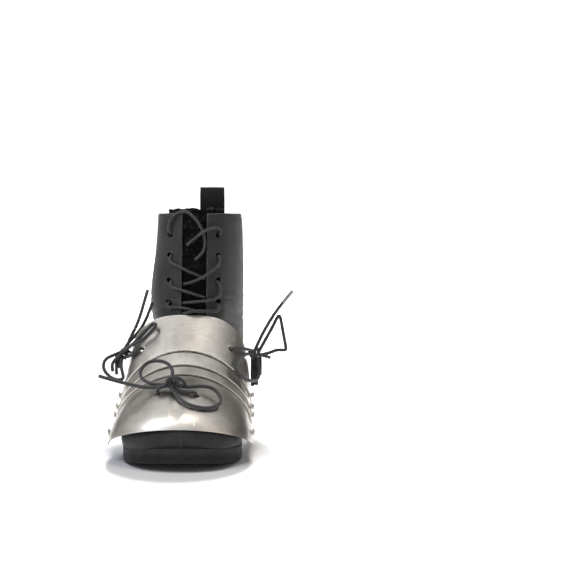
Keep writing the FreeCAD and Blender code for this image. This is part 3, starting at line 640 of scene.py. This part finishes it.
# Seams: rows of waxed thread let into the leather, drawn along lines that are dropped on to its surface
threadLook = {"wide": 0.75, "pitch": 3.4, "gap": 0.9, "sink": 0.12, "bow": 0.28,
              "colours": ("#151516", "#3A3A3B")}
threadMaterial, threadTree = newMaterial("waxedThread")
threadPlace = addNode(threadTree, "ShaderNodeTexCoord")
threadTwist = addNode(threadTree, "ShaderNodeTexNoise", {"Scale": 2600.0, "Detail": 1.0},
                      {"Vector": threadPlace.outputs["Object"]})
threadTone = addNode(threadTree, "ShaderNodeValToRGB", feeds={"Fac": threadTwist.outputs["Fac"]},
                     stops=tuple(zip((0.3, 0.7), threadLook["colours"])))
threadShader = addNode(threadTree, "ShaderNodeBsdfPrincipled", {"Roughness": 0.55},
                       {"Base Color": threadTone.outputs["Color"]})
finishMaterial(threadMaterial, threadTree, threadShader)


def stitchRow(name, host, line):
    graph = bpy.context.evaluated_depsgraph_get()
    tree = BVHTree.FromObject(host, graph)
    places = []
    for start, end in zip(line, line[1:]):
        a, b = point(*start), point(*end)
        count = max(1, int((b - a).length / (0.5 * mm)))
        places += [a.lerp(b, step / count) for step in range(count)]
    places.append(point(*line[-1]))
    dropped = []
    for place in places:
        found, normal, _, _ = tree.find_nearest(place)
        if found is not None:
            dropped.append((found, normal))
    shape = bmesh.new()
    travelled = 0.0
    begun = dropped[0]
    for before, here in zip(dropped, dropped[1:]):
        travelled += (here[0] - before[0]).length / mm
        if travelled >= threadLook["pitch"]:
            oneStitch(shape, begun, here)
            begun = here
            travelled = 0.0
    mesh = bpy.data.meshes.new(name)
    shape.to_mesh(mesh)
    shape.free()
    mesh.polygons.foreach_set("use_smooth", [True] * len(mesh.polygons))
    mesh.materials.append(threadMaterial)
    made = bpy.data.objects.new(name, mesh)
    bpy.context.scene.collection.objects.link(made)
    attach(made, "boot")
    return made


def oneStitch(shape, begun, ended):  # a short bowed bead of thread
    start, normal = begun
    end = ended[0]
    way = end - start
    long = way.length - threadLook["gap"] * mm
    way.normalize()
    side = way.cross(normal).normalized()
    out = side.cross(way).normalized()
    rings = []
    for step in range(7):
        share = step / 6
        girth = math.sqrt(max(0.0, 1.0 - (2 * share - 1) ** 4)) * threadLook["wide"] * mm / 2
        lift = (math.sin(share * math.pi) * threadLook["bow"] + threadLook["sink"]) * mm
        middle = start + way * (threadLook["gap"] * mm / 2 + long * share) + out * lift
        if step in (0, 6):
            rings.append([shape.verts.new(middle)])
            continue
        ring = []
        for corner in range(6):
            turn = corner * math.pi / 3
            around = side * (girth * math.cos(turn)) + out * (girth * math.sin(turn))
            ring.append(shape.verts.new(middle + around))
        rings.append(ring)
    for ring, following in zip(rings, rings[1:]):
        for k in range(6):
            corners = [ring[k % len(ring)], ring[(k + 1) % len(ring)],
                       following[(k + 1) % len(following)], following[k % len(following)]]
            kept = [corner for i, corner in enumerate(corners) if corner not in corners[:i]]
            if len(kept) > 2:
                shape.faces.new(kept)


seams = {
    "lacingOuter": ("quarterOuter", ((-10.5, 8, 124), (-10.5, 10, 131), (-10.5, 18, 153.5),
                                     (-10.5, 25.5, 178.5), (-10.5, 31, 199), (-10.5, 34, 213))),
    "lacingInner": ("quarterInner", ((21.5, 8, 124), (21.5, 10, 131), (21.5, 18, 153.5),
                                     (21.5, 25.5, 178.5), (21.5, 31, 199), (21.5, 34, 213))),
    "rimOuter": ("quarterOuter", ((-10.5, 33, 213), (-24, 43, 212.5), (-32.5, 65, 212),
                                  (-33, 95, 210.5), (-26, 128, 208.5), (-8, 141, 207.5), (5, 143, 207))),
    "rimInner": ("quarterInner", ((21.5, 33, 213), (42, 43, 212.5), (52.5, 65, 212), (53, 95, 210.5),
                                  (46, 128, 208.5), (28, 141, 207.5), (11, 143, 207))),
    "backOuter": ("quarterOuter", ((4.6, 144, 40), (4.6, 144, 82), (4.6, 141, 124), (4.6, 141, 168),
                                   (4.6, 143, 204))),
    "backInner": ("quarterInner", ((11.4, 144, 40), (11.4, 144, 82), (11.4, 141, 124), (11.4, 141, 168),
                                   (11.4, 143, 204))),
    "waistOuter": ("quarterOuter", ((-46, 9, 26), (-46, 4.5, 45), (-43, -1.5, 65), (-35, -6.5, 82),
                                    (-24, -10, 94))),
    "waistOuterTwo": ("quarterOuter", ((-46, 12, 26), (-46, 7.5, 45), (-43, 1.5, 65), (-35, -3.5, 82),
                                       (-24, -7, 94))),
    "waistInner": ("quarterInner", ((52, 9, 26), (52, 4.5, 45), (50, -1.5, 65), (43, -6.5, 82),
                                    (32, -10, 94))),
    "waistInnerTwo": ("quarterInner", ((52, 12, 26), (52, 7.5, 45), (50, 1.5, 65), (43, -3.5, 82),
                                       (32, -7, 94))),
}
for name, (host, line) in seams.items():
    stitchRow(name, uppers[host], line)

# The welt is sewn down right round, a little inside its edge
weltLine = ((3.5, -149.5, 23), (24, -147, 22), (38, -138.5, 20), (50, -119, 16.5), (53.5, -92, 14),
            (52, -55, 13.5), (45, -10, 16), (41, 40, 21.5), (45, 95, 28), (39.5, 130, 30),
            (25, 145.5, 30.5), (10, 149.5, 30.5), (-5.5, 145.5, 30.5), (-19, 130, 30), (-26.5, 95, 28),
            (-30, 40, 21.5), (-39.5, -5, 16.5), (-49, -50, 13.5), (-51.5, -90, 14),
            (-46.5, -118.5, 16.5), (-33, -138.5, 20), (-17, -147, 22), (3.5, -149.5, 23))
stitchRow("weltSeam", nodes["welt"], weltLine)
print("seams sewn")


# Stage: pale floor and even soft light
stage = {"floorHex": "#F6F6F6", "worldStrength": 0.3, "floorHalf": 12.0, "liftFrom": 0.25, "liftTo": 1.1,
         "brightWay": (-0.25, -0.1, 0.96),
         "room": ((0.30, "#2A2724"), (0.52, "#6E6A66"), (0.72, "#B5B3B1"), (0.88, "#FFFFFF"))}


def directSight(tree):  # 1 for what is seen by the camera, in steel or through something clear
    light = addNode(tree, "ShaderNodeLightPath")
    seen = addNode(tree, "ShaderNodeMath",
                   feeds={0: light.outputs["Is Camera Ray"], 1: light.outputs["Is Glossy Ray"]},
                   operation="MAXIMUM")
    seenToo = addNode(tree, "ShaderNodeMath",
                      feeds={0: seen.outputs[0], 1: light.outputs["Is Transmission Ray"]},
                      operation="MAXIMUM")
    return light, seenToo


def paleFloor(name, look):
    made, tree = newMaterial(name)
    _, seenToo = directSight(tree)
    matt = addNode(tree, "ShaderNodeBsdfDiffuse", {"Color": hexColour(look["floorHex"])})
    place = addNode(tree, "ShaderNodeTexCoord")
    away = addNode(tree, "ShaderNodeVectorMath", feeds={0: place.outputs["Object"]}, operation="LENGTH")
    lift = addNode(tree, "ShaderNodeMapRange",
                   {"From Min": look["liftFrom"], "From Max": look["liftTo"], "To Min": 0.0, "To Max": 0.9},
                   {"Value": away.outputs["Value"]}, interpolation_type="SMOOTHSTEP")
    glow = addNode(tree, "ShaderNodeEmission", {"Color": (1.0, 1.0, 1.0, 1.0)},
                   {"Strength": lift.outputs["Result"]})
    lifted = addNode(tree, "ShaderNodeAddShader", feeds={0: matt.outputs[0], 1: glow.outputs[0]})
    mix = addNode(tree, "ShaderNodeMixShader",
                  feeds={"Fac": seenToo.outputs[0], 1: matt.outputs[0], 2: lifted.outputs[0]})
    return finishMaterial(made, tree, mix)


floorMesh = bpy.data.meshes.new("studioFloor")
half = stage["floorHalf"]
floorMesh.from_pydata([(-half, -half, 0), (half, -half, 0), (half, half, 0), (-half, half, 0)], [],
                      [(0, 1, 2, 3)])
floor = bpy.data.objects.new("studioFloor", floorMesh)
floor.location.z = -0.0004
floorMesh.materials.append(paleFloor("paleFloor", stage))
bpy.context.scene.collection.objects.link(floor)

world = bpy.data.worlds.new("studioWorld")
bpy.context.scene.world = world
world.use_nodes = True
tree = world.node_tree
tree.nodes.clear()
light, seenToo = directSight(tree)
soft = addNode(tree, "ShaderNodeBackground",
               {"Color": hexColour("#F4F6FA"), "Strength": stage["worldStrength"]})
white = addNode(tree, "ShaderNodeBackground", {"Color": (1.0, 1.0, 1.0, 1.0), "Strength": 1.0})
# What polished metal sees: the white sweep behind and beside it, and the dim room away from it on the right
away = addNode(tree, "ShaderNodeTexCoord")
turned = addNode(tree, "ShaderNodeVectorMath", {1: stage["brightWay"]}, {0: away.outputs["Generated"]},
                 operation="DOT_PRODUCT")
facing = addNode(tree, "ShaderNodeMapRange", {"From Min": -1.0, "From Max": 1.0},
                 {"Value": turned.outputs["Value"]})
room = addNode(tree, "ShaderNodeValToRGB", feeds={"Fac": facing.outputs["Result"]}, stops=stage["room"])
seenInMetal = addNode(tree, "ShaderNodeBackground", {"Strength": 1.0}, {"Color": room.outputs["Color"]})
forMetal = addNode(tree, "ShaderNodeMixShader",
                   feeds={"Fac": light.outputs["Is Glossy Ray"], 1: white.outputs[0],
                          2: seenInMetal.outputs[0]})
mix = addNode(tree, "ShaderNodeMixShader",
              feeds={"Fac": seenToo.outputs[0], 1: soft.outputs[0], 2: forMetal.outputs[0]})
output = addNode(tree, "ShaderNodeOutputWorld", feeds={"Surface": mix.outputs[0]})

lamps = {
    "keyLamp": {"place": (-900, -800, 1500), "size": 1.0, "watts": 13.0, "hex": "#EEF4FF", "inMetal": True},
    "crownLamp": {"place": (150, -400, 1500), "size": 0.45, "watts": 4.0, "hex": "#FFF2E0",
                  "inMetal": True},
    "fillLamp": {"place": (1200, -800, 900), "size": 1.0, "watts": 1.6, "hex": "#FFF1DF", "inMetal": True},
    "topLamp": {"place": (40, 1100, 1400), "size": 0.5, "watts": 46.0, "hex": "#FFFFFF", "inMetal": False},
}
for name, facts in lamps.items():
    data = bpy.data.lights.new(name, "AREA")
    data.size = facts["size"]
    data.energy = facts["watts"]
    data.color = hexColour(facts["hex"])[:3]
    lamp = bpy.data.objects.new(name, data)
    lamp.location = point(*facts["place"])
    lamp.visible_glossy = facts["inMetal"]
    lamp.rotation_euler = (point(0, 0, 90) - lamp.location).to_track_quat("-Z", "Y").to_euler()
    bpy.context.scene.collection.objects.link(lamp)

bpy.context.scene.view_settings.view_transform = "Standard"
